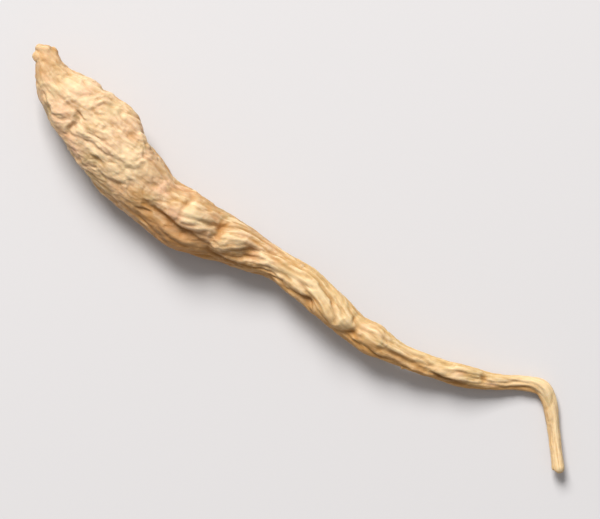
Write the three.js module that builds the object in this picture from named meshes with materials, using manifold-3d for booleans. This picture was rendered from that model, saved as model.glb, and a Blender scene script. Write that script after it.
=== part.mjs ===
// A dried prince ginseng root: a spindle-shaped tuber that narrows through a lumpy neck into a long tail
// with a hooked tip. It lies on its side. It grew as one piece, so it is one mesh.
// Millimetres, +Z up, +X from the crown to the tail. The origin is at the bottom centre of its box.
import * as THREE from "three";
import { mergeVertices } from "three/addons/utils/BufferGeometryUtils.js";
import Module from "manifold-3d";

// The midline and half-width of the root from the crown to the tip:
// distance along, distance across, height, radius.
const STATIONS = [
  [0.1, 0.1, 3.2, 0.8],
  [0.85, -0.85, 3.1, 1.18],
  [2.15, -1.7, 2.95, 1.78],
  [3.8, -2.22, 2.8, 2.38],
  [5.6, -2.58, 2.65, 2.75],
  [8.2, -3.22, 2.7, 2.88],
  [11.0, -4.12, 2.56, 2.79],
  [14.6, -5.0, 2.26, 2.48],
  [17.2, -5.15, 2.4, 2.62],
  [20.6, -4.6, 2.05, 2.03],
  [23.5, -4.25, 2.04, 1.68],
  [26.4, -4.02, 2.3, 1.27],
  [30.2, -4.3, 2.58, 1.52],
  [34.2, -4.7, 2.48, 1.16],
  [36.1, -4.72, 2.38, 1.3],
  [38.35, -4.48, 2.18, 1.02],
  [41.85, -3.72, 1.73, 0.93],
  [44.25, -2.88, 1.4, 0.95],
  [46.65, -1.8, 0.98, 0.7],
  [48.75, -0.45, 0.72, 0.62],
  [50.15, -0.02, 0.66, 0.65],
  [51.4, -0.85, 0.62, 0.6],
  [52.85, -2.45, 0.74, 0.53],
  [54.45, -4.3, 1.06, 0.5],
  [55.0, -4.95, 1.16, 0.51],
];
const FLATNESS = 0.94; // height of a section over its width
const LYING_LEVEL = 0.14; // height at which the underside dried flat against the ground
const END_ROUNDING = 0.4; // how far each rounded end stands past its last station

const SIDES = 26; // facets round the root
const RINGS_PER_SPAN = 4; // rings between two stations
const END_RINGS = 3; // rings in each rounded end
const LENGTH_STEPS = 40; // steps that measure the midline between two stations
const BUD_DETAIL = 2; // how finely the bud scars are divided
const WELD = 1e-3; // vertices nearer than this are one
const UP = new THREE.Vector3(0, 0, 1);

// Longitudinal flutes: how many go round, share of the radius, turn per millimetre of length, starting angle.
const FLUTES = [
  { count: 3, depth: 0.045, twist: 0.05, start: 0.4 },
  { count: 5, depth: 0.035, twist: 0.11, start: 1.9 },
];

// Swellings and hollows: length along the root, angle round it (0 faces +Y, 90 faces up), extent, rise.
const LUMPS = [
  { along: 4.2, angle: 10, size: 1.2, rise: 0.25 },
  { along: 5.6, angle: 30, size: 0.7, rise: 0.16 },
  { along: 6.6, angle: 5, size: 0.6, rise: -0.2 },
  { along: 8.8, angle: 15, size: 1.5, rise: 0.28 },
  { along: 11.2, angle: 5, size: 0.9, rise: -0.26 },
  { along: 4.0, angle: 170, size: 0.8, rise: -0.24 },
  { along: 6.2, angle: 110, size: 0.8, rise: -0.28 },
  { along: 11.5, angle: 150, size: 1.8, rise: 0.16 },
  { along: 15.5, angle: 40, size: 1.5, rise: -0.2 },
  { along: 17.0, angle: 108, size: 1.4, rise: -0.24 },
  { along: 20.4, angle: 40, size: 1.6, rise: 0.2 },
  { along: 21.2, angle: 75, size: 0.8, rise: -0.26 },
  { along: 23.2, angle: 95, size: 1.4, rise: 0.26 },
  { along: 30.0, angle: 25, size: 1.3, rise: 0.16 },
  { along: 30.6, angle: 145, size: 0.7, rise: -0.26 },
  { along: 33.0, angle: 120, size: 1.2, rise: 0.22 },
  { along: 35.0, angle: 125, size: 0.7, rise: -0.26 },
  { along: 37.0, angle: 20, size: 1.2, rise: 0.16 },
  { along: 43.3, angle: 150, size: 0.8, rise: -0.18 },
  { along: 45.0, angle: 60, size: 1.0, rise: 0.16 },
  { along: 49.0, angle: 140, size: 0.8, rise: -0.1 },
];

// Bud scars that stand round the crown: place relative to the first station, and radius.
const BUDS = [
  { at: [-0.25, -0.65, 0.1], radius: 0.5 },
  { at: [-0.25, 0.2, 0.45], radius: 0.42 },
  { at: [-0.1, 0.1, -0.45], radius: 0.42 },
];

const DRIED_SKIN = { color: 0xd9b380, roughness: 0.72, metalness: 0 };

const wasm = await Module();
wasm.setup();

function solidFrom(geometry) {
  const bare = geometry.clone();
  bare.deleteAttribute("normal");
  bare.deleteAttribute("uv");
  const merged = mergeVertices(bare, WELD);
  return new wasm.Manifold(
    new wasm.Mesh({
      numProp: 3,
      vertProperties: merged.attributes.position.array,
      triVerts: new Uint32Array(merged.index.array),
    }),
  );
}

function geometryFrom(solid) {
  const mesh = solid.getMesh();
  const geometry = new THREE.BufferGeometry();
  geometry.setAttribute("position", new THREE.BufferAttribute(new Float32Array(mesh.vertProperties), 3));
  geometry.setIndex(new THREE.BufferAttribute(new Uint32Array(mesh.triVerts), 1));
  geometry.computeVertexNormals();
  return geometry;
}

// The midline as a curve, and its length at each station.
const midline = new THREE.CatmullRomCurve3(
  STATIONS.map(([x, y, z]) => new THREE.Vector3(x, y, z)),
  false,
  "centripetal",
);
midline.arcLengthDivisions = LENGTH_STEPS * (STATIONS.length - 1);
const lengths = midline.getLengths();
const stationLengths = STATIONS.map((station, i) => lengths[LENGTH_STEPS * i]);
const rootLength = midline.getLength();

// A quarter of an ellipse from the last ring of the outline to the axis.
function roundedEnd(ring, direction) {
  const points = [];
  for (let i = 1; i <= END_RINGS; i++) {
    const turn = (i / END_RINGS) * (Math.PI / 2);
    const radius = i < END_RINGS ? ring.x * Math.cos(turn) : 0;
    points.push(new THREE.Vector2(radius, ring.y + direction * END_ROUNDING * Math.sin(turn)));
  }
  return points;
}

// The outline of the straightened root, closed on the axis at both ends.
function straightOutline() {
  const rings = STATIONS.map((station, i) => new THREE.Vector2(station[3], stationLengths[i]));
  const flank = new THREE.SplineCurve(rings).getPoints(RINGS_PER_SPAN * (STATIONS.length - 1));
  const crownEnd = roundedEnd(flank[0], -1).reverse();
  const tipEnd = roundedEnd(flank[flank.length - 1], 1);
  return [...crownEnd, ...flank, ...tipEnd];
}

// How much the flutes and lumps change the radius at a length along the root and an angle round it.
function relief(along, angle, radius) {
  let change = 0;
  for (const flute of FLUTES) {
    const turned = angle - flute.start - flute.twist * along;
    change += radius * flute.depth * Math.cos(flute.count * turned);
  }
  for (const lump of LUMPS) {
    const turned = angle - THREE.MathUtils.degToRad(lump.angle);
    const round = Math.atan2(Math.sin(turned), Math.cos(turned)) * radius;
    const away = Math.hypot(along - lump.along, round) / lump.size;
    change += lump.rise * Math.exp(-away * away);
  }
  return change;
}

// The straight root is bent onto the midline, with each section square to it.
function bentRoot() {
  const geometry = new THREE.LatheGeometry(straightOutline(), SIDES);
  const places = geometry.attributes.position;
  for (let i = 0; i < places.count; i++) {
    const along = places.getY(i);
    const radius = Math.hypot(places.getX(i), places.getZ(i));
    const angle = Math.atan2(places.getX(i), places.getZ(i));
    const share = THREE.MathUtils.clamp(along / rootLength, 0, 1);
    const ahead = midline.getTangentAt(share);
    const side = new THREE.Vector3().crossVectors(UP, ahead).normalize();
    const lift = new THREE.Vector3().crossVectors(ahead, side);
    const reach = radius > WELD ? radius + relief(along, angle, radius) : 0;
    const place = midline.getPointAt(share);
    place.addScaledVector(side, Math.cos(angle) * reach);
    place.addScaledVector(lift, Math.sin(angle) * reach * FLATNESS);
    place.addScaledVector(ahead, along - share * rootLength);
    places.setXYZ(i, place.x, place.y, Math.max(place.z, LYING_LEVEL));
  }
  return solidFrom(geometry);
}

function crownBuds() {
  const [x, y, z] = STATIONS[0];
  return BUDS.map((bud) => {
    const ball = new THREE.IcosahedronGeometry(bud.radius, BUD_DETAIL);
    ball.translate(x + bud.at[0], y + bud.at[1], z + bud.at[2]);
    return solidFrom(ball);
  });
}

const grown = crownBuds().reduce((joined, bud) => joined.add(bud), bentRoot());
const rootGeometry = geometryFrom(grown);
rootGeometry.computeBoundingBox();
const middle = rootGeometry.boundingBox.getCenter(new THREE.Vector3());
rootGeometry.translate(-middle.x, -middle.y, -rootGeometry.boundingBox.min.z);

const root = new THREE.Mesh(rootGeometry, new THREE.MeshStandardMaterial(DRIED_SKIN));
root.name = "ginseng_root";

const part = new THREE.Group();
part.name = "prince_ginseng_root";
part.add(root);

export default part;
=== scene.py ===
import math

import bmesh
import bpy
import numpy as np
from mathutils import Matrix, Vector, noise


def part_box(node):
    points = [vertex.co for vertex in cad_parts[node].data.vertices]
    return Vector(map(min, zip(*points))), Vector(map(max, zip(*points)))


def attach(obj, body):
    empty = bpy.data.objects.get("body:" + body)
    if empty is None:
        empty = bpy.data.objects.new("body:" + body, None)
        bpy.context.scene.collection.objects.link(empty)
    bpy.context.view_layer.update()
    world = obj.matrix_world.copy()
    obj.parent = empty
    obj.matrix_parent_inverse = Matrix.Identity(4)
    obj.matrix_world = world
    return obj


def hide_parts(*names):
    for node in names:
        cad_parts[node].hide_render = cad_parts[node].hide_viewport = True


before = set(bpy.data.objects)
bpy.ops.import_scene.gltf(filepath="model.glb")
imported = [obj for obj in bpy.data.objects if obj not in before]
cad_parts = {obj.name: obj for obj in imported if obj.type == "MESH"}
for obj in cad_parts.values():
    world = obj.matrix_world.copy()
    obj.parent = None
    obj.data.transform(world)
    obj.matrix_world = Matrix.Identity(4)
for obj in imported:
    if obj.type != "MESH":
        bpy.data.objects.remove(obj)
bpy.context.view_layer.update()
mm = 0.001
print("frame loaded")

# the root: a clay copy of the frame's solid, worked in millimetres, then wrinkled and pushed
ginseng = {
    "node": "ginseng_root",
    "mergeDist": 0.002,             # mm, corners nearer than this are one
    "roundLevels": 2,               # subdivision that rounds the solid's facets
    "gridStep": 0.094,              # mm, spacing of the remeshed skin
    "meltPasses": 5,                # smoothing passes that take the grid's steps away
    "meltFactor": 0.5,
    "lastMelt": 0.25,               # one softer pass over the pushed skin
    "spare": 0.012,                 # how far the skin may stand past the solid's box, share of a side
    "ground": 0.004,                # mm, height of the flattened underside
    "pushBlur": 6,                  # passes that even out the directions the skin is pushed in
    # heights are in mm, stretches are wavelengths along and round the root in mm
    "broadHeight": 0.19, "broadStretch": (3.2, 1.8),
    "foldHeight": 0.20, "foldStretch": (6.0, 1.3),
    "fineFoldHeight": 0.05, "fineFoldStretch": (3.6, 0.65),
    "wrinkleHeight": 0.165, "wrinkleStretch": (1.7, 1.0),
    "fineWrinkleHeight": 0.05, "fineWrinkleStretch": (0.9, 0.55),
    "crumbHeight": 0.10, "crumbStretch": (0.7, 0.5),
    "threadHeight": 0.034, "threadStretch": (1.1, 0.2),
    "grainHeight": 0.026, "grainStretch": (0.35, 0.3),
    "weavePull": 0.7, "weaveStretch": (3.4, 1.7),               # how far folds stray from straight
    "crumplePull": 0.75, "crumpleStretch": (1.5, 1.0),          # how far wrinkles stray
    "wobblePull": 1.3, "wobbleStretch": (2.2, 1.4),             # how far rings stray
    "sharpness": 2.6,               # how narrow the creases are between folds
    "headEnd": (11.0, 17.0),        # mm along, where the crumpled head gives way to the body
    "foldStart": (10.0, 17.0),      # mm along, where the lengthwise folds reach full height
    "foldsOnHead": 0.12, "wrinklesOffHead": 0.2,                # shares of the full height
    # scattered lengthwise furrows
    "seed": 11, "furrowCount": 60, "furrowSpan": (13.0, 58.0),
    "furrowLength": (2.0, 6.5), "furrowDepth": (0.02, 0.07), "furrowWidth": (0.09, 0.16),
    "furrowDrift": (-4.0, 4.0),     # degrees a mm away from the twist
    "furrowWander": (-5, 5), "furrowStops": 4,
    # colours and shine; some of these tones are painted highlight on the ridges and painted shade in the
    # creases, on the shaded side and underneath
    "headTone": (0.65, 0.455, 0.265), "bodyTone": (0.46, 0.27, 0.115), "tailTone": (0.61, 0.42, 0.19),
    "creamAndHighlightTone": (0.84, 0.655, 0.405), "speckAndCreaseShadeTone": (0.34, 0.15, 0.035), "paintedShadeTone": (0.46, 0.19, 0.028),
    "pinkTone": (0.69, 0.41, 0.275), "ochreTone": (0.45, 0.205, 0.045), "oliveTone": (0.40, 0.315, 0.15),
    "scarAndShadeTone": (0.24, 0.15, 0.08),
    "roughness": (0.55, 0.72), "specular": 0.28,
    "subsurface": 0.16, "subsurfaceScale": 0.0004, "subsurfaceRadius": (1.0, 0.55, 0.25),
    "fineness": 9, "bumpStrength": 0.5, "bumpDepth": 0.0001, "creaseShadeFalloff": 0.8,
}

# one seed for each layer of noise
seeds = {
    "fold": 3, "fineFold": 4, "wrinkle": 5, "fineWrinkle": 6, "crumb": 7, "wobble": 9, "broad": 10,
    "thread": 12, "grain": 13, "weave": 20, "crumple": 30, "strayAlong": 40, "strayRound": 41,
    "pink": 50, "ochreAndShade": 51, "olive": 52, "darkSpotsAndShade": 53, "paintedHighlight": 54, "tip": 60,
}

# buds and the broken stem, in mm; each place is from the crown's end (ahead, across, up)
crown = {
    "endDepth": 0.5,                # the end is the middle of what lies this near the first point
    "knobDetail": 3,
    "knobs": [
        {"at": (-0.02, -0.55, 0.20), "size": (0.46, 0.44, 0.40)},
        {"at": (0.22, 0.30, 0.32), "size": (0.52, 0.46, 0.40)},
        {"at": (0.75, 0.50, -0.05), "size": (0.50, 0.46, 0.48)},
        {"at": (0.30, -0.10, -0.50), "size": (0.44, 0.46, 0.36)},
        {"at": (1.00, -0.62, 0.30), "size": (0.52, 0.36, 0.40)},
    ],
    "stemRadius": 0.34, "stemLength": 0.9, "stemSides": 14, "stemLean": (-0.7, 0.5, 0.34),
    "stemFlare": 1.6,               # radius of the stem's foot over its top
    "stemStand": 0.3,               # share of the length from the crown's end to the stem's middle
}


def crownEnd(pts):
    low = pts[:, 0].min()
    return pts[pts[:, 0] < low + crown["endDepth"]].mean(axis=0)


def appliedMesh(obj):
    graph = bpy.context.evaluated_depsgraph_get()
    return bpy.data.meshes.new_from_object(obj.evaluated_get(graph), depsgraph=graph)


def melt(bm, factor):
    bmesh.ops.smooth_vert(
        bm, verts=bm.verts, factor=factor, use_axis_x=True, use_axis_y=True, use_axis_z=True,
    )


def addCrown(bm, end):
    for knob in crown["knobs"]:
        place = Matrix.Translation(end + Vector(knob["at"])) @ Matrix.Diagonal((*knob["size"], 1))
        bmesh.ops.create_icosphere(bm, subdivisions=crown["knobDetail"], radius=1, matrix=place)
    lean = Vector(crown["stemLean"]).normalized()
    leaning = lean.to_track_quat("Z", "Y").to_matrix().to_4x4()
    place = Matrix.Translation(end + lean * crown["stemLength"] * crown["stemStand"]) @ leaning
    bmesh.ops.create_cone(
        bm, cap_ends=True, segments=crown["stemSides"], depth=crown["stemLength"],
        radius1=crown["stemRadius"] * crown["stemFlare"], radius2=crown["stemRadius"], matrix=place,
    )


def makeClay(settings):
    bm = bmesh.new()
    bm.from_mesh(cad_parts[settings["node"]].data)
    bmesh.ops.scale(bm, vec=(1 / mm, 1 / mm, 1 / mm), verts=bm.verts)
    bmesh.ops.remove_doubles(bm, verts=bm.verts, dist=settings["mergeDist"])
    end = Vector(crownEnd(np.array([v.co[:] for v in bm.verts])))
    bodyMesh = bpy.data.meshes.new("rootClay")
    bm.to_mesh(bodyMesh)
    bm.free()
    body = bpy.data.objects.new("rootClay", bodyMesh)
    bpy.context.scene.collection.objects.link(body)
    rounding = body.modifiers.new("rounding", "SUBSURF")
    rounding.levels = settings["roundLevels"]
    rounding.render_levels = settings["roundLevels"]
    rounded = appliedMesh(body)

    bm = bmesh.new()
    bm.from_mesh(rounded)
    addCrown(bm, end)
    bm.to_mesh(body.data)
    bm.free()
    body.modifiers.clear()
    skin = body.modifiers.new("skin", "REMESH")
    skin.mode = "VOXEL"
    skin.voxel_size = settings["gridStep"]
    gridded = appliedMesh(body)
    bpy.data.objects.remove(body)

    bm = bmesh.new()
    bm.from_mesh(gridded)
    for _ in range(settings["meltPasses"]):
        melt(bm, settings["meltFactor"])
    bm.normal_update()
    return bm


rootBm = makeClay(ginseng)
points = np.array([v.co[:] for v in rootBm.verts])
normals = np.array([v.normal[:] for v in rootBm.verts])
edges = np.array([[v.index for v in e.verts] for e in rootBm.edges])
print("clay ready:", len(points), "points")

# places on the skin are mm along the root and degrees round it (0 faces +Y, 90 faces up)
# they are measured from a midline, which is walked slice by slice from the crown
walk = {
    "step": 0.5,                    # mm between two slices
    "heading": (0.7, -0.7, 0.0),    # direction of the first step
    "reach": 2.0,                   # mm, how near the midline points have to be in the first slice
    "reachGrowth": 1.15, "reachSpare": 0.5,                     # the next reach, from the last slice
    "fewest": 20,                   # a slice with fewer points is past the tip
    "steadiness": 0.6,              # share of the last direction that is kept
    "smoothing": 4, "girthSmoothing": 3,
}


def walkMidline(pts):
    centre = crownEnd(pts)
    heading = np.array(walk["heading"])
    centres = [centre]
    reach = walk["reach"]
    while True:
        offset = pts - (centre + heading * walk["step"])
        ahead = offset @ heading
        near = (abs(ahead) < walk["step"] / 2) & (np.linalg.norm(offset, axis=1) < reach)
        if near.sum() < walk["fewest"]:
            break
        ring = pts[near].mean(axis=0)
        reach = np.linalg.norm(pts[near] - ring, axis=1).max() * walk["reachGrowth"] + walk["reachSpare"]
        step = ring - centre
        step /= np.linalg.norm(step)
        heading = heading * walk["steadiness"] + step * (1 - walk["steadiness"])
        heading /= np.linalg.norm(heading)
        centre = ring
        centres.append(centre)
    return np.array(centres)


def smoothLine(line, passes):
    for _ in range(passes):
        line[1:-1] = line[1:-1] * 0.5 + (line[:-2] + line[2:]) * 0.25
    return line


midline = smoothLine(walkMidline(points), walk["smoothing"])
tangents = np.gradient(midline, axis=0)
tangents /= np.linalg.norm(tangents, axis=1)[:, None]
lengths = np.concatenate([[0], np.cumsum(np.linalg.norm(np.diff(midline, axis=0), axis=1))])
rootLength = lengths[-1]
sides = np.cross([0, 0, 1], tangents)
sides /= np.linalg.norm(sides, axis=1)[:, None]
lifts = np.cross(tangents, sides)


def skinPlaces(pts):
    # each point lies between two slices of the midline; the nearer pair counts where the root bends back
    ahead = pts @ tangents.T - np.sum(midline * tangents, axis=1)
    far = np.linalg.norm(pts[:, None, :] - midline[None, :, :], axis=2)
    between = (ahead[:, :-1] >= 0) & (ahead[:, 1:] < 0)
    first = np.argmin(np.where(between, far[:, :-1], np.inf), axis=1)
    rows = np.arange(len(pts))
    share = ahead[rows, first] / (ahead[rows, first] - ahead[rows, first + 1])
    # points past either end are measured from the end slice
    lost = ~between.any(axis=1)
    before = lost & (far[:, 0] < far[:, -1])
    after = lost & ~before
    first[before] = 0
    first[after] = len(midline) - 2
    share = np.where(before, 0, np.where(after, 1, share))
    mix = share[:, None]
    centre = midline[first] * (1 - mix) + midline[first + 1] * mix
    side = sides[first] * (1 - mix) + sides[first + 1] * mix
    lift = lifts[first] * (1 - mix) + lifts[first + 1] * mix
    out = pts - centre
    along = lengths[first] * (1 - share) + lengths[first + 1] * share
    along = np.where(before, ahead[:, 0], along)
    along = np.where(after, rootLength + ahead[:, -1], along)
    across = np.sum(out * side, axis=1)
    up = np.sum(out * lift, axis=1)
    return along, np.arctan2(up, across), np.hypot(across, up)


along, angle, radius = skinPlaces(points)
slices = np.clip((along / walk["step"]).astype(int), 0, len(midline) - 1)
ringCounts = np.bincount(slices, minlength=len(midline))
ringSizes = np.bincount(slices, weights=radius, minlength=len(midline)) / np.maximum(ringCounts, 1)
girth = np.interp(along, lengths, smoothLine(ringSizes, walk["girthSmoothing"]))
print("root is", round(float(rootLength), 1), "mm along its midline")


def wrapped(radians):
    return np.arctan2(np.sin(radians), np.cos(radians))


def ramp(values, start, end):
    t = np.clip((values - start) / (end - start), 0, 1)
    return t * t * (3 - 2 * t)


def track(at, values, where, softness=1.5):
    # a value that changes softly along the root
    step, margin = 0.25, 4
    fine = np.arange(-margin, rootLength + margin, step)
    window = np.hanning(int(softness / step) * 2 + 3)
    line = np.convolve(np.interp(fine, at, values), window / window.sum(), "same")
    return np.interp(where, fine, line)


def spot(place, degrees, length, width):
    # 1 at a place on the skin and fading round it; length runs along the root, width round it, mm
    off = wrapped(angle - np.radians(degrees)) * girth
    return np.exp(-(((along - place) / length) ** 2) - (off / width) ** 2)


def facing(degrees):
    # how many degrees round the root each point is from a direction
    return np.abs(np.degrees(wrapped(angle - np.radians(degrees))))


def blurred(values, passes):
    counts = np.bincount(edges.ravel(), minlength=len(values))
    for _ in range(passes):
        total = np.bincount(edges[:, 0], weights=values[edges[:, 1]], minlength=len(values))
        total += np.bincount(edges[:, 1], weights=values[edges[:, 0]], minlength=len(values))
        values = values * 0.5 + total / counts * 0.5
    return values


noiseApart = (17.3, 5.1, 9.7)       # how far one seed's noise lies from the next
cellsApart = (13.1, 3.7, 7.9)


def stretched(cells, stretch):
    return cells / np.array([stretch[0], stretch[1], stretch[1]])


def noiseField(cells, seed, stretch):
    # soft noise on the skin
    shift = Vector([seed * apart for apart in noiseApart])
    scaled = stretched(cells, stretch)
    return np.array([noise.noise(Vector(c) + shift, noise_basis="BLENDER") for c in scaled])


def cellField(cells, seed, stretch):
    # 0 in the creases between cells and rising to the middle of each
    shift = Vector([seed * apart for apart in cellsApart])
    creases = np.empty(len(cells))
    for i, c in enumerate(stretched(cells, stretch)):
        distances = noise.voronoi(Vector(c) + shift)[0]
        creases[i] = distances[1] - distances[0]
    return creases


# a crease's rounding, the level of the ridges beside it, its depth, and the noise that fades it
crease = {"rounding": 0.03, "level": 0.4, "depth": 1.2, "fadeSeed": 70, "fade": (-0.35, 0.3)}


def creased(cells, seed, stretch):
    # rounded ridges between narrow creases that come and go, about 0 on average
    steep = np.hypot(noiseField(cells, seed, stretch), crease["rounding"])
    strength = ramp(noiseField(cells, seed + crease["fadeSeed"], stretch), *crease["fade"])
    return crease["level"] - np.exp(-steep * ginseng["sharpness"]) * crease["depth"] * strength


def warped(cells, kind):
    stretch, pull = ginseng[kind + "Stretch"], ginseng[kind + "Pull"]
    shifts = [noiseField(cells, seeds[kind] + k, stretch) * pull for k in range(3)]
    return cells + np.column_stack(shifts)


def layer(kind, field, cells):
    return field(cells, seeds[kind], ginseng[kind + "Stretch"]) * ginseng[kind + "Height"]


# noise follows a straightened copy of each point, and winds round it with the root's own twist
evenGirth = 2.2                     # mm, the straightened root is this thick all along
twistAt = (0, 14, 22, 26, 30, 32, 35, 43, 46, 60)
twistDegrees = (0, -70, -102, -130, -138, -130, -75, -65, -95, -80)
turned = angle - np.radians(track(twistAt, twistDegrees, along))
straight = np.column_stack([along, np.cos(turned) * evenGirth, np.sin(turned) * evenGirth])
plain = np.column_stack([along, np.cos(turned) * girth, np.sin(turned) * girth])

# relief is lower where the root is thin
thinness = track((0, 3, 8, 24, 30, 45, 60), (0.55, 0.85, 1, 1, 0.85, 0.62, 0.4), along)
head = 1 - ramp(along, *ginseng["headEnd"])
rise = np.zeros(len(points))

# swellings, necks, and the lobe that laps over the waist: along, angle, length, width, rise
swells = [
    (3.0, 60, 0.8, 1.0, -0.10), (4.2, 70, 0.9, 1.2, 0.14), (5.6, 125, 0.7, 0.7, 0.13),
    (7.1, 125, 0.4, 1.1, -0.13), (7.8, 112, 0.8, 0.9, 0.15), (8.8, 150, 0.8, 0.6, 0.10),
    (6.9, 30, 0.9, 0.8, 0.14), (7.9, 36, 0.6, 0.5, -0.10), (5.3, 8, 0.5, 0.8, 0.10),
    (6.2, 4, 0.35, 0.8, -0.10), (7.1, 8, 0.5, 0.8, 0.09), (7.9, 4, 0.3, 0.8, -0.08),
    (9.2, 20, 1.2, 1.0, 0.12), (10.6, 46, 0.5, 0.45, -0.07), (10.0, 118, 0.6, 0.5, 0.10),
    (13.6, 100, 0.6, 1.6, -0.10), (16.1, 68, 1.1, 1.2, 0.10), (18.5, 62, 0.35, 0.9, -0.09),
    (19.6, 74, 1.2, 1.0, 0.16), (17.8, 113, 2.0, 0.35, -0.18), (18.8, 134, 1.2, 0.6, 0.16),
    (21.0, 124, 0.8, 1.0, -0.14), (21.95, 75, 0.4, 1.0, -0.11), (23.5, 75, 1.1, 1.1, 0.22),
    (25.1, 88, 0.6, 1.0, -0.22), (26.9, 92, 1.3, 0.4, 0.12), (28.6, 58, 0.4, 0.3, -0.08),
    (30.8, 75, 1.2, 0.8, 0.10), (31.6, 127, 0.5, 0.5, -0.26), (33.0, 118, 0.8, 0.5, 0.12),
    (34.6, 112, 0.8, 0.8, 0.18), (35.9, 112, 0.4, 0.7, -0.17), (35.45, 62, 0.22, 0.8, -0.08),
    (37.6, 58, 1.1, 0.8, 0.12), (39.0, 108, 1.5, 0.35, -0.14), (41.0, 96, 1.5, 0.3, -0.10),
    (43.0, 88, 0.6, 0.4, -0.12), (44.2, 112, 1.0, 0.4, 0.12), (45.3, 68, 0.7, 0.6, 0.12),
    (45.0, 145, 1.2, 0.5, -0.14), (47.8, 75, 0.3, 0.6, -0.13), (49.2, 60, 0.9, 0.6, 0.06),
    (50.6, 140, 0.8, 0.4, -0.08), (53.7, 90, 0.4, 0.8, -0.06), (55.6, 60, 0.6, 0.6, 0.05),
    (57.0, 150, 0.6, 0.4, -0.08), (58.0, 40, 0.6, 0.5, -0.05),
]
for place, degrees, length, width, height in swells:
    rise += spot(place, degrees, length, width) * height

# the tip broke off square and flares a little; mm, and radians for the side that broke off last
tip = {
    "flarePlace": 0.5, "flareWidth": 0.8, "flareRise": 0.06,
    "broken": 0.12, "slant": 0.16, "slantSide": 0.6, "ragged": 0.15, "raggedStretch": (0.4, 0.25),
    "drawBack": 0.93,               # share of what stands past the break that is drawn back to it
}
rise += np.exp(-(((along - rootLength + tip["flarePlace"]) / tip["flareWidth"]) ** 2)) * tip["flareRise"]
rise += layer("broad", noiseField, plain) * thinness

# lengthwise folds on the body and tail, softer meandering wrinkles on the head
woven = warped(straight, "weave")
onHead, offHead = ginseng["foldsOnHead"], ginseng["wrinklesOffHead"]
foldShare = (onHead + (1 - onHead) * ramp(along, *ginseng["foldStart"])) * thinness
rise += layer("fold", creased, woven) * foldShare
rise += layer("fineFold", creased, woven) * foldShare
crumpled = warped(plain, "crumple")
wrinkleShare = (offHead + (1 - offHead) * head) * thinness
rise += layer("wrinkle", creased, crumpled) * wrinkleShare
rise += layer("fineWrinkle", creased, crumpled) * wrinkleShare
crumbs = cellField(crumpled, seeds["crumb"], ginseng["crumbStretch"])
rise += (crumbs - crumbs.mean()) * ginseng["crumbHeight"] * wrinkleShare
print("folds and wrinkles raised")

# furrows run along lines that wander a little over the skin, with a low lip on each side
groove = {
    "steepness": 1.7, "lipHeight": 0.09, "lipPlace": 2.1,       # place and margin are in widths
    "margin": 5, "marginSpare": 0.5,
    "strayStretch": (1.1, 0.8), "strayAlong": 0.35, "strayRound": 0.22, "leastGirth": 0.6,
}
strayField = noiseField(plain, seeds["strayAlong"], groove["strayStretch"])
strayAlong = along + strayField * groove["strayAlong"]
strayField = noiseField(plain, seeds["strayRound"], groove["strayStretch"])
strayAngle = angle + strayField * groove["strayRound"] / np.maximum(girth, groove["leastGirth"])


def furrow(path, depth, width):
    # a furrow through (along, degrees) places, fading at both ends
    places = np.array(path, dtype=float)
    margin = width * groove["margin"] + groove["marginSpare"]
    near = (strayAlong > places[:, 0].min() - margin) & (strayAlong < places[:, 0].max() + margin)
    nearAlong, nearAngle, nearGirth = strayAlong[near], strayAngle[near], girth[near]
    distance = np.full(len(nearAlong), np.inf)
    share = np.zeros(len(nearAlong))
    for i in range(len(places) - 1):
        stepAlong = places[i + 1, 0] - places[i, 0]
        stepRound = np.radians(places[i + 1, 1] - places[i, 1]) * nearGirth
        fromAlong = nearAlong - places[i, 0]
        fromRound = wrapped(nearAngle - np.radians(places[i, 1])) * nearGirth
        t = (fromAlong * stepAlong + fromRound * stepRound) / (stepAlong ** 2 + stepRound ** 2)
        t = np.clip(t, 0, 1)
        away = np.hypot(fromAlong - t * stepAlong, fromRound - t * stepRound)
        closer = away < distance
        distance[closer] = away[closer]
        share[closer] = ((i + t) / (len(places) - 1))[closer]
    fade = np.sqrt(np.clip(share * (1 - share) * 4, 0, 1))
    cut = np.exp(-((distance / width) ** groove["steepness"]))
    lips = np.exp(-(((distance - groove["lipPlace"] * width) / width) ** 2))
    rise[near] += fade * depth * (groove["lipHeight"] * lips - cut)


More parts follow.
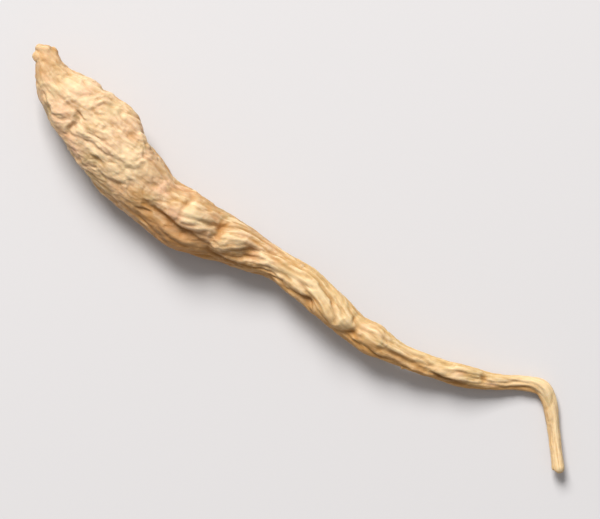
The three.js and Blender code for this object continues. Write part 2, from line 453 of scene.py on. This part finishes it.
# depth, width and line of each deep furrow: on the head, the body, the lobe, the tail, then the hook
deepFurrows = [
    (0.11, 0.26, ((6.3, 80), (6.65, 102), (7.0, 122), (7.15, 146))),
    (0.12, 0.21, ((8.1, 104), (8.9, 94), (9.8, 82))),
    (0.12, 0.21, ((8.4, 128), (9.2, 118), (10.0, 112))),
    (0.10, 0.20, ((10.5, 108), (11.4, 94), (12.2, 84))),
    (0.12, 0.21, ((9.6, 134), (10.6, 126), (11.4, 120))),
    (0.12, 0.22, ((12.2, 136), (13.0, 124), (13.6, 112))),
    (0.09, 0.20, ((10.2, 56), (11.0, 38))),
    (0.11, 0.21, ((6.7, 40), (7.4, 32), (8.2, 20))),
    (0.10, 0.20, ((4.9, 120), (5.3, 104), (5.8, 88))),
    (0.10, 0.21, ((3.0, 44), (3.4, 64), (3.3, 84))),
    (0.09, 0.18, ((7.6, 72), (8.4, 60))),
    (0.09, 0.18, ((9.0, 66), (10.0, 56))),
    (0.09, 0.18, ((11.4, 70), (12.6, 58))),
    (0.09, 0.18, ((5.6, 66), (6.4, 54))),
    (0.26, 0.26, ((15.4, 124), (16.5, 107), (17.4, 113), (18.5, 114), (19.9, 112), (21.2, 118))),
    (0.22, 0.23, ((15.0, 142), (16.0, 127), (16.8, 118))),
    (0.18, 0.21, ((18.0, 126), (18.8, 121), (20.2, 127))),
    (0.13, 0.19, ((13.8, 156), (15.4, 151), (17.2, 154), (19.4, 158))),
    (0.12, 0.18, ((15.6, 172), (17.4, 168), (19.2, 172), (21.4, 176))),
    (0.11, 0.17, ((17.6, 140), (18.8, 144), (20.4, 146))),
    (0.10, 0.17, ((11.2, 160), (12.8, 166), (14.6, 168))),
    (0.14, 0.22, ((18.4, 46), (18.65, 60), (18.3, 74))),
    (0.09, 0.21, ((15.8, 70), (17.0, 48), (17.6, 38))),
    (0.10, 0.21, ((16.5, 82), (17.8, 60))),
    (0.09, 0.18, ((15.9, 98), (17.3, 80))),
    (0.14, 0.18, ((19.0, 98), (20.6, 78), (21.6, 62))),
    (0.12, 0.17, ((19.2, 62), (20.8, 44))),
    (0.11, 0.16, ((20.0, 104), (21.2, 90))),
    (0.16, 0.29, ((22.3, 42), (22.0, 68), (21.8, 94), (21.6, 114))),
    (0.26, 0.31, ((20.6, 118), (21.6, 136), (22.6, 148), (23.6, 158), (24.8, 166))),
    (0.27, 0.29, ((23.0, 128), (24.3, 104), (25.1, 86), (26.1, 70), (27.4, 64))),
    (0.24, 0.22, ((23.8, 136), (24.9, 110), (25.7, 100), (26.8, 97))),
    (0.14, 0.18, ((22.7, 106), (23.8, 88), (24.8, 70))),
    (0.11, 0.16, ((22.8, 76), (24.2, 58))),
    (0.22, 0.23, ((25.6, 122), (27.0, 114), (28.4, 110), (29.6, 105))),
    (0.18, 0.20, ((26.6, 82), (28.0, 77), (29.4, 72), (30.6, 60))),
    (0.16, 0.18, ((26.6, 50), (28.2, 44), (30.0, 36))),
    (0.26, 0.26, ((27.4, 142), (29.4, 140), (30.8, 132), (31.8, 126), (32.6, 140))),
    (0.14, 0.18, ((28.8, 93), (30.2, 88), (31.4, 78))),
    (0.26, 0.25, ((31.2, 46), (32.2, 54), (32.9, 60), (33.4, 82), (33.9, 104), (34.3, 124))),
    (0.18, 0.20, ((32.9, 38), (33.8, 58), (34.4, 86))),
    (0.15, 0.18, ((31.0, 100), (32.2, 104), (33.2, 118))),
    (0.18, 0.25, ((35.2, 152), (35.8, 128), (36.0, 104), (36.3, 90))),
    (0.07, 0.14, ((35.4, 46), (35.5, 70), (35.5, 92))),
    (0.16, 0.18, ((36.4, 80), (37.6, 83), (39.0, 86), (40.4, 90))),
    (0.26, 0.25, ((36.4, 142), (38.2, 138), (40.0, 140), (41.5, 138))),
    (0.22, 0.23, ((38.2, 109), (39.4, 104), (41.0, 102), (42.4, 112), (43.2, 124))),
    (0.05, 0.14, ((38.4, 28), (38.55, 60), (38.5, 90))),
    (0.12, 0.16, ((36.6, 52), (38.2, 50), (39.6, 56))),
    (0.14, 0.17, ((39.6, 46), (41.2, 56), (42.4, 66), (43.5, 92))),
    (0.24, 0.22, ((42.6, 100), (43.6, 118), (44.4, 134), (45.6, 138), (46.8, 128))),
    (0.13, 0.16, ((44.2, 98), (45.2, 84), (46.2, 66))),
    (0.11, 0.14, ((44.0, 60), (45.2, 46))),
    (0.12, 0.17, ((47.6, 50), (47.75, 74), (48.1, 98), (48.9, 118))),
    (0.12, 0.14, ((46.2, 88), (47.2, 80), (47.7, 70))),
    (0.12, 0.14, ((48.6, 80), (50.2, 84), (51.8, 80))),
    (0.16, 0.17, ((48.8, 124), (50.4, 132), (52.0, 126), (53.0, 132))),
    (0.10, 0.13, ((51.6, 56), (52.8, 66), (53.8, 90))),
    (0.10, 0.13, ((54.6, 100), (56.2, 106), (57.8, 98))),
    (0.11, 0.13, ((56.0, 140), (57.2, 150), (58.6, 140))),
    (0.08, 0.12, ((56.6, 70), (58.4, 74), (59.6, 66))),
]
for depth, width, path in deepFurrows:
    furrow(path, depth, width)

# shallower furrows are scattered round the root in even turns
evenTurn = 137.5                    # degrees from one to the next
thinAt, thinShares = (0, 30, 45, 60), (1, 0.85, 0.65, 0.5)      # they are thinner towards the tip
firstPlace, lastPlace = ginseng["furrowSpan"]
dice = np.random.RandomState(ginseng["seed"])
for i in range(ginseng["furrowCount"]):
    length = dice.uniform(*ginseng["furrowLength"])
    start = dice.uniform(firstPlace, lastPlace - length)
    stops = start + np.linspace(0, length, ginseng["furrowStops"])
    drift = dice.uniform(*ginseng["furrowDrift"])
    wander = dice.uniform(*ginseng["furrowWander"], ginseng["furrowStops"])
    line = i * evenTurn % 360 + track(twistAt, twistDegrees, stops) + drift * (stops - start) + wander
    thin = np.interp(start, thinAt, thinShares)
    depth = dice.uniform(*ginseng["furrowDepth"]) * thin
    furrow(list(zip(stops, line)), depth, dice.uniform(*ginseng["furrowWidth"]) * thin)
print("furrows cut")

# pits and rootlet scars: along, angle, size, depth, stretch along
pits = [
    (4.55, 150, 0.42, 0.20, 1.1), (6.65, 102, 0.36, 0.12, 0.9), (5.2, 105, 0.26, 0.10, 1.0),
    (10.4, 128, 0.32, 0.11, 1.2), (12.9, 132, 0.36, 0.12, 1.3), (12.95, 90, 0.26, 0.08, 1.0),
    (8.2, 104, 0.24, 0.08, 1.2), (21.9, 92, 0.30, 0.07, 1.0), (31.6, 126, 0.42, 0.12, 1.2),
    (44.0, 140, 0.26, 0.12, 1.2), (47.8, 75, 0.20, 0.05, 1.0), (6.5, 250, 0.40, 0.25, 1.2),
    (12.4, 300, 0.36, 0.22, 1.3), (19.0, 230, 0.38, 0.25, 1.5), (24.0, 320, 0.34, 0.22, 1.4),
    (33.0, 250, 0.28, 0.18, 1.4),
]
pitLip = {"height": 0.2, "place": 1.5, "width": 0.5}            # shares of the depth and of the size
faintest = 1e-30                    # keeps the logarithm finite
for place, degrees, size, depth, stretch in pits:
    away = np.sqrt(-np.log(np.maximum(spot(place, degrees, size * stretch, size), faintest)))
    lip = pitLip["height"] * np.exp(-(((away - pitLip["place"]) / pitLip["width"]) ** 2))
    rise += depth * (lip - np.exp(-away ** 2))

# stubs of broken rootlets: along, angle, size, height
rootletStubs = [
    (12.2, 30, 0.26, 0.12), (23.4, 150, 0.17, 0.18), (29.4, 24, 0.15, 0.14),
    (41.0, 160, 0.13, 0.12), (15.6, 215, 0.20, 0.20), (9.1, 330, 0.18, 0.18),
    (36.2, 300, 0.14, 0.14),
]
stubEdge = (0.15, 0.6)              # where in the fading spot a stub's side rises
stubMask = np.zeros(len(points))
for place, degrees, size, height in rootletStubs:
    mask = spot(place, degrees, size, size)
    rise += height * ramp(mask, *stubEdge)
    stubMask = np.maximum(stubMask, mask)

# shallow rings where the root dried unevenly: along, width, depth, angle of the deepest side
rings = [
    (3.4, 0.4, 0.06, 60), (14.4, 0.5, 0.08, 60), (18.6, 0.3, 0.10, 60), (21.9, 0.35, 0.06, 80),
    (27.6, 0.5, 0.08, 140), (31.6, 0.4, 0.08, 130), (35.8, 0.35, 0.10, 110), (38.5, 0.25, 0.05, 60),
    (42.9, 0.3, 0.08, 90), (47.8, 0.35, 0.07, 80), (53.6, 0.3, 0.06, 90), (56.4, 0.35, 0.035, 120),
]
farSide = 0.25                      # depth on the side away from the deepest
wobble = noiseField(plain, seeds["wobble"], ginseng["wobbleStretch"]) * ginseng["wobblePull"]
for place, width, depth, degrees in rings:
    towards = np.clip(np.cos(wrapped(angle - np.radians(degrees))), 0, 1)
    share = farSide + (1 - farSide) * towards
    rise -= depth * share * np.exp(-(((along + wobble - place) / width) ** 2))

rise += layer("thread", noiseField, straight) * thinness
rise += layer("grain", noiseField, plain) * thinness
print("relief finished")

# push the skin outwards, keep it on the ground and close to the frame's box
lowest, highest = (np.array(corner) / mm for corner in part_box(ginseng["node"]))
spare = (highest - lowest) * ginseng["spare"]
pushes = np.column_stack([blurred(normals[:, k], ginseng["pushBlur"]) for k in range(3)])
pushes /= np.linalg.norm(pushes, axis=1)[:, None]
moved = points + pushes * rise[:, None]
ragged = noiseField(plain, seeds["tip"], tip["raggedStretch"]) * tip["ragged"]
broken = rootLength - tip["broken"] + tip["slant"] * np.cos(angle - tip["slantSide"]) + ragged
drawnBack = np.maximum(along - broken, 0) * tip["drawBack"]
moved -= tangents[-1] * drawnBack[:, None]
moved = np.clip(moved, lowest - spare, highest + spare)
moved[:, 2] = np.maximum(moved[:, 2], lowest[2] + ginseng["ground"])
for vert, place in zip(rootBm.verts, moved):
    vert.co = place
melt(rootBm, ginseng["lastMelt"])
bmesh.ops.scale(rootBm, vec=(mm, mm, mm), verts=rootBm.verts)
for face in rootBm.faces:
    face.smooth = True
rootMesh = bpy.data.meshes.new("ginsengSkin")
rootBm.to_mesh(rootMesh)
rootBm.free()
root = bpy.data.objects.new("ginseng_skin", rootMesh)
bpy.context.scene.collection.objects.link(root)
print("skin pushed:", len(rootMesh.polygons), "faces")

# where the skin is tinted, painted shade and painted highlights among it: along, angle, length, width,
# strength
pinkPatches = [
    (5.6, 122, 1.0, 0.9, 0.9), (4.8, 60, 1.2, 1.0, 0.5), (8.2, 152, 1.8, 0.6, 0.8),
    (15.6, 58, 1.3, 1.3, 0.9), (18.0, 92, 1.6, 0.7, 0.6), (17.2, 30, 1.0, 0.8, 0.5),
    (12.8, 45, 0.8, 0.7, 0.5), (24.3, 62, 0.9, 0.6, 0.5), (25.6, 100, 0.7, 0.4, 0.8),
    (36.6, 112, 0.5, 0.5, 0.6), (37.2, 60, 1.2, 0.8, 0.4), (45.4, 75, 0.6, 0.5, 0.6),
    (48.6, 108, 0.6, 0.3, 0.7),
]
# real ochre marks, with painted shade on the lower lobe near 18 mm and a painted shadow over the crown
ochreAndShadePatches = [
    (10.6, 46, 0.5, 0.35, 0.8), (16.2, 124, 0.6, 0.4, 0.7), (18.4, 115, 1.9, 0.5, 1.0),
    (18.2, 140, 2.0, 0.6, 0.8), (21.9, 75, 0.45, 0.9, 0.9), (25.3, 50, 0.5, 0.35, 0.7),
    (24.9, 92, 0.9, 0.5, 0.8), (28.65, 58, 0.4, 0.3, 0.9), (27.6, 76, 1.2, 0.3, 0.5),
    (31.7, 128, 0.6, 0.5, 0.9), (36.0, 118, 0.5, 0.6, 0.8), (40.6, 106, 3.0, 0.5, 1.0),
    (43.2, 96, 0.8, 0.4, 0.7), (47.8, 74, 0.35, 0.5, 0.7), (12.9, 128, 0.5, 0.5, 0.6),
    (1.6, 70, 1.8, 2.2, 0.7), (44.6, 140, 1.5, 0.4, 0.8), (51.5, 130, 2.0, 0.4, 0.7),
]
olivePatches = [
    (4.55, 148, 0.6, 0.6, 0.9), (3.6, 118, 0.8, 0.7, 0.6), (2.6, 70, 0.8, 0.7, 0.5),
    (5.2, 104, 0.4, 0.35, 0.6), (10.3, 128, 0.7, 0.5, 0.6), (7.9, 96, 0.5, 0.5, 0.3),
    (6.7, 104, 0.35, 0.35, 0.8), (9.6, 140, 0.8, 0.5, 0.5), (20.4, 80, 1.0, 0.6, 0.4),
    (28.8, 86, 0.8, 0.4, 0.5), (32.0, 66, 0.8, 0.5, 0.5), (38.5, 62, 0.25, 0.9, 0.5),
    (47.0, 62, 0.6, 0.5, 0.4), (53.9, 85, 0.4, 0.5, 0.6),
]
# painted highlights: pale patches where the light falls brightest
paintedHighlightPatches = [
    (19.6, 78, 1.3, 0.5, 1.0), (19.2, 52, 1.2, 0.4, 0.8), (16.6, 112, 0.8, 0.2, 0.5),
    (23.7, 78, 1.0, 0.6, 1.0), (26.8, 94, 1.3, 0.35, 1.0), (31.5, 74, 1.6, 0.45, 1.0),
    (29.8, 92, 1.0, 0.3, 0.8), (34.6, 98, 0.9, 0.5, 1.0), (37.0, 66, 1.2, 0.4, 0.6),
    (44.2, 92, 1.6, 0.22, 1.0), (41.5, 66, 2.0, 0.3, 0.8), (53.0, 62, 1.3, 0.5, 0.9),
    (8.6, 84, 1.3, 0.8, 0.7), (10.6, 72, 1.4, 0.9, 0.6), (9.4, 122, 1.0, 0.4, 0.7),
    (4.4, 62, 1.0, 0.7, 0.5), (12.4, 94, 1.3, 1.6, 0.9), (27.8, 120, 1.6, 0.5, 0.8),
    (50.8, 104, 1.8, 0.4, 0.6),
]
# painted shade on the lower lobe, the shaded side and the underside, with a few real dark pits
darkSpotsAndShadePatches = [
    (18.3, 118, 1.8, 0.5, 1.0), (18.2, 142, 2.0, 0.8, 1.0), (22.6, 145, 1.8, 0.5, 0.6),
    (24.6, 92, 0.8, 0.35, 0.6), (6.7, 104, 0.4, 0.4, 0.5), (40.5, 108, 1.6, 0.3, 0.5),
    (45.0, 138, 1.5, 0.35, 0.6), (31.7, 130, 0.5, 0.4, 0.6), (9.0, 235, 2.5, 1.2, 0.4),
    (24.0, 250, 4.0, 0.8, 0.4), (36.0, 265, 4.0, 0.5, 0.4),
]
patches = {
    "pink": pinkPatches, "ochreAndShade": ochreAndShadePatches, "olive": olivePatches,
    "paintedHighlight": paintedHighlightPatches, "darkSpotsAndShade": darkSpotsAndShadePatches,
}

# how the masks for the skin's colours and its painted shade fall; depths in mm, sides and fades in degrees
tinting = {
    "blur": 40, "creaseShadeDepth": 0.16, "ridgeHighlightHeight": 0.09,
    "shadeSide": 178, "shadeFade": (18, 78),
    "underside": 270, "undersideFade": (30, 100), "undersideShare": 0.3,
    "ragged": 0.7, "raggedStretch": (1.0, 0.45),
}


def painted(rows, seed):
    # soft patches with ragged edges
    mask = np.zeros(len(points))
    for place, degrees, length, width, strength in rows:
        mask = np.maximum(mask, spot(place, degrees, length, width) * strength)
    edge = noiseField(plain, seed, tinting["raggedStretch"]) * tinting["ragged"]
    return np.clip(mask + edge * np.sqrt(mask), 0, 1)


def keep(name, values):
    rootMesh.attributes.new(name, "FLOAT", "POINT").data.foreach_set("value", values.astype(np.float32))


# crease depth below the blurred skin: painted shade in the furrows and painted highlight on the ridges
furrowDepth = blurred(rise, tinting["blur"]) - rise
creaseShadeShare = track((0, 11, 17, 36, 44, 60), (0.5, 0.5, 1, 1, 0.72, 0.6), along)
# painted shade on the side turned from the light and on the underside, strongest on the body
shadeReach = track((0, 13, 16, 23, 26, 60), (0, 0, 16, 16, 6, 6), along)
shade = 1 - ramp(facing(tinting["shadeSide"]) - shadeReach, *tinting["shadeFade"])
paintedShadeAt = (0, 11, 15, 19, 23, 28, 34, 47, 52, 57, 60)
paintedShadeShare = track(paintedShadeAt, (0.12, 0.12, 0.5, 1, 0.95, 0.5, 0.85, 0.8, 0.45, 0.35, 0.3), along, 4.0)
underside = 1 - ramp(facing(tinting["underside"]), *tinting["undersideFade"])
keep("furrow", np.clip(furrowDepth / tinting["creaseShadeDepth"], 0, 1) * creaseShadeShare)
keep("ridgeHighlight", np.clip(-furrowDepth / tinting["ridgeHighlightHeight"], 0, 1))
keep("along", along / rootLength)
keep("stub", stubMask)
keep("head", head)
# the low mask is painted shade
keep("low", np.maximum(shade * paintedShadeShare, underside * tinting["undersideShare"]))
for name, rows in patches.items():
    keep(name, painted(rows, seeds[name]))
skinPlace = rootMesh.attributes.new("skinPlace", "FLOAT_VECTOR", "POINT")
skinPlace.data.foreach_set("vector", straight.astype(np.float32).ravel())
print("tints painted")


def colour(tone):
    return (*tone, 1)


def makeNode(tree, kind, **values):
    node = tree.nodes.new(kind)
    for name, value in values.items():
        setattr(node, name, value)
    return node


def feed(tree, socket, value):
    # a link from another node's output, or a fixed value
    if isinstance(value, bpy.types.NodeSocket):
        tree.links.new(value, socket)
    else:
        socket.default_value = value


def mixColours(tree, factor, a, b):
    node = makeNode(tree, "ShaderNodeMix", data_type="RGBA")
    feed(tree, node.inputs[0], factor)
    feed(tree, node.inputs[6], a)
    feed(tree, node.inputs[7], b)
    return node.outputs[2]


def mathNode(tree, operation, a, b):
    node = makeNode(tree, "ShaderNodeMath", operation=operation)
    feed(tree, node.inputs[0], a)
    feed(tree, node.inputs[1], b)
    return node.outputs[0]


def spread(tree, value, low, high, bottom=0.0, top=1.0):
    node = makeNode(tree, "ShaderNodeMapRange", interpolation_type="SMOOTHSTEP")
    feed(tree, node.inputs["Value"], value)
    feed(tree, node.inputs["From Min"], low)
    feed(tree, node.inputs["From Max"], high)
    feed(tree, node.inputs["To Min"], bottom)
    feed(tree, node.inputs["To Max"], top)
    return node.outputs["Result"]


def attribute(tree, name, output="Fac"):
    return makeNode(tree, "ShaderNodeAttribute", attribute_name=name).outputs[output]


def noiseNode(tree, vector, scale, detail, roughness=0.5, distortion=0.0):
    node = makeNode(tree, "ShaderNodeTexNoise")
    feed(tree, node.inputs["Vector"], vector)
    feed(tree, node.inputs["Scale"], scale)
    feed(tree, node.inputs["Detail"], detail)
    feed(tree, node.inputs["Roughness"], roughness)
    feed(tree, node.inputs["Distortion"], distortion)
    return node.outputs["Fac"]


# scale along the root over scale round it, scale of the streaks over the fibres', shares of the height
fibres = {"stretch": 0.22, "streakScale": 0.19, "fibreShare": 0.6, "speckShare": 0.4}


def fibreGroup():
    # fine fibres along the root with tiny pores: a height, and masks of specks and streaks
    tree = bpy.data.node_groups.new("driedFibre", "ShaderNodeTree")
    tree.interface.new_socket("Place", in_out="INPUT", socket_type="NodeSocketVector")
    tree.interface.new_socket("Fineness", in_out="INPUT", socket_type="NodeSocketFloat")
    for name in ("Height", "Speckle", "Streak"):
        tree.interface.new_socket(name, in_out="OUTPUT", socket_type="NodeSocketFloat")
    given = makeNode(tree, "NodeGroupInput")
    result = makeNode(tree, "NodeGroupOutput")
    place, fineness = given.outputs["Place"], given.outputs["Fineness"]
    mapping = makeNode(tree, "ShaderNodeMapping")
    mapping.inputs["Scale"].default_value = (fibres["stretch"], 1, 1)
    tree.links.new(place, mapping.inputs["Vector"])
    lengthened = mapping.outputs["Vector"]
    coarse = mathNode(tree, "MULTIPLY", fineness, fibres["streakScale"])
    threads = noiseNode(tree, lengthened, fineness, detail=4, distortion=0.4)
    specks = noiseNode(tree, place, fineness, detail=5, roughness=0.7)
    streaks = noiseNode(tree, lengthened, coarse, detail=6, roughness=0.62, distortion=0.5)
    fibreHeight = mathNode(tree, "MULTIPLY", threads, fibres["fibreShare"])
    speckHeight = mathNode(tree, "MULTIPLY", specks, fibres["speckShare"])
    tree.links.new(mathNode(tree, "ADD", fibreHeight, speckHeight), result.inputs["Height"])
    tree.links.new(specks, result.inputs["Speckle"])
    tree.links.new(streaks, result.inputs["Streak"])
    return tree


def driedSkin(look):
    material = bpy.data.materials.new("driedSkin")
    material.use_nodes = True
    tree = material.node_tree
    shader = tree.nodes["Principled BSDF"]
    place = attribute(tree, "skinPlace", "Vector")
    lengthwise = attribute(tree, "along")
    flushes = noiseNode(tree, place, 0.32, detail=4, roughness=0.55)
    clouds = noiseNode(tree, place, 0.55, detail=4, roughness=0.6, distortion=0.4)
    blotches = noiseNode(tree, place, 1.1, detail=5, roughness=0.6, distortion=0.6)
    fibre = makeNode(tree, "ShaderNodeGroup", node_tree=fibreGroup())
    tree.links.new(place, fibre.inputs["Place"])
    fibre.inputs["Fineness"].default_value = look["fineness"]
    streak = fibre.outputs["Streak"]
    deepest = mathNode(tree, "POWER", attribute(tree, "furrow"), look["creaseShadeFalloff"])

    # glazes from the first to the last: mask, strength, tone
    glazes = [
        (spread(tree, flushes, 0.45, 0.65), 0.35, "pinkTone"),
        (spread(tree, clouds, 0.50, 0.66), 0.5, "oliveTone"),
        (spread(tree, lengthwise, 0.38, 0.6), 0.8, "tailTone"),
        (spread(tree, lengthwise, 0.80, 0.90), 0.5, "creamAndHighlightTone"),
        (spread(tree, blotches, 0.54, 0.74), 0.32, "ochreTone"),
        (spread(tree, blotches, 0.45, 0.33), 0.4, "creamAndHighlightTone"),
        (spread(tree, streak, 0.52, 0.66), 0.5, "ochreTone"),
        (spread(tree, streak, 0.47, 0.34), 0.6, "creamAndHighlightTone"),
        # painted highlight on the ridge tops
        (attribute(tree, "ridgeHighlight"), 0.5, "creamAndHighlightTone"),
        (attribute(tree, "pink"), 0.6, "pinkTone"),
        # painted highlights
        (attribute(tree, "paintedHighlight"), 0.55, "creamAndHighlightTone"),
        # real ochre marks and painted shade
        (attribute(tree, "ochreAndShade"), 0.6, "ochreTone"),
        (attribute(tree, "olive"), 0.6, "oliveTone"),
        # painted shade on the side turned from the light and underneath
        (attribute(tree, "low"), 0.7, "paintedShadeTone"),
        # painted shade and a few real dark pits
        (attribute(tree, "darkSpotsAndShade"), 0.55, "scarAndShadeTone"),
        # painted shade in the creases
        (deepest, 0.62, "speckAndCreaseShadeTone"),
        (spread(tree, fibre.outputs["Speckle"], 0.60, 0.72), 0.3, "speckAndCreaseShadeTone"),
        (attribute(tree, "stub"), 0.6, "scarAndShadeTone"),
    ]
    base = mixColours(tree, attribute(tree, "head"), colour(look["bodyTone"]), colour(look["headTone"]))
    for mask, strength, tone in glazes:
        base = mixColours(tree, mathNode(tree, "MULTIPLY", mask, strength), base, colour(look[tone]))
    tree.links.new(base, shader.inputs["Base Color"])

    tree.links.new(spread(tree, blotches, 0.3, 0.7, *look["roughness"]), shader.inputs["Roughness"])
    shader.inputs["Specular IOR Level"].default_value = look["specular"]
    shader.inputs["Subsurface Weight"].default_value = look["subsurface"]
    shader.inputs["Subsurface Radius"].default_value = look["subsurfaceRadius"]
    shader.inputs["Subsurface Scale"].default_value = look["subsurfaceScale"]
    bump = makeNode(tree, "ShaderNodeBump")
    bump.inputs["Strength"].default_value = look["bumpStrength"]
    bump.inputs["Distance"].default_value = look["bumpDepth"]
    tree.links.new(fibre.outputs["Height"], bump.inputs["Height"])
    tree.links.new(bump.outputs["Normal"], shader.inputs["Normal"])
    return material


rootMesh.materials.append(driedSkin(ginseng))
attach(root, "root")
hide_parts(ginseng["node"])
print("dried skin on")

# pale floor, one soft window beyond the crown, and a camera that looks straight down; in metres and degrees
stage = {"floorSize": 1.2, "floorTone": (0.60, 0.59, 0.603), "roughness": 0.8, "specular": 0.2}
view = {"turn": 34.0, "width": 0.0505, "sensor": 36.0, "distance": 0.34, "centre": (0.0004, 0.0010)}
lights = {
    "key": {"from": (-0.16, 0.52), "height": 0.54, "size": 0.36, "power": 8.8, "tone": (1.0, 0.985, 0.96)},
    "world": {"tone": (1.0, 0.98, 0.96), "strength": 0.35},
}

turn = math.radians(view["turn"])
right = Vector((math.cos(turn), math.sin(turn), 0))
upward = Vector((-math.sin(turn), math.cos(turn), 0))


def makeFloor(settings):
    bm = bmesh.new()
    bmesh.ops.create_grid(bm, x_segments=1, y_segments=1, size=settings["floorSize"] / 2)
    mesh = bpy.data.meshes.new("floor")
    bm.to_mesh(mesh)
    bm.free()
    floor = bpy.data.objects.new("floor", mesh)
    bpy.context.scene.collection.objects.link(floor)
    material = bpy.data.materials.new("paleFloor")
    material.use_nodes = True
    shader = material.node_tree.nodes["Principled BSDF"]
    shader.inputs["Base Color"].default_value = colour(settings["floorTone"])
    shader.inputs["Roughness"].default_value = settings["roughness"]
    shader.inputs["Specular IOR Level"].default_value = settings["specular"]
    mesh.materials.append(material)


def makeLights(settings):
    key = settings["key"]
    lamp = bpy.data.lights.new("window", "AREA")
    lamp.shape = "SQUARE"
    lamp.size = key["size"]
    lamp.energy = key["power"]
    lamp.color = key["tone"]
    window = bpy.data.objects.new("window", lamp)
    window.location = right * key["from"][0] + upward * key["from"][1] + Vector((0, 0, key["height"]))
    window.rotation_euler = (-window.location).to_track_quat("-Z", "Y").to_euler()
    bpy.context.scene.collection.objects.link(window)
    world = bpy.data.worlds.new("studio")
    world.use_nodes = True
    sky = world.node_tree.nodes["Background"]
    sky.inputs["Color"].default_value = colour(settings["world"]["tone"])
    sky.inputs["Strength"].default_value = settings["world"]["strength"]
    bpy.context.scene.world = world


def makeCamera(settings):
    data = bpy.data.cameras.new("camera")
    data.sensor_width = settings["sensor"]
    data.lens = settings["sensor"] * settings["distance"] / settings["width"]
    camera = bpy.data.objects.new("camera", data)
    centre = right * settings["centre"][0] + upward * settings["centre"][1]
    camera.location = centre + Vector((0, 0, settings["distance"]))
    camera.rotation_euler = (0, 0, turn)
    bpy.context.scene.collection.objects.link(camera)
    bpy.context.scene.camera = camera


makeFloor(stage)
makeLights(lights)
makeCamera(view)
bpy.context.scene.view_settings.view_transform = "Standard"
print("stage set")
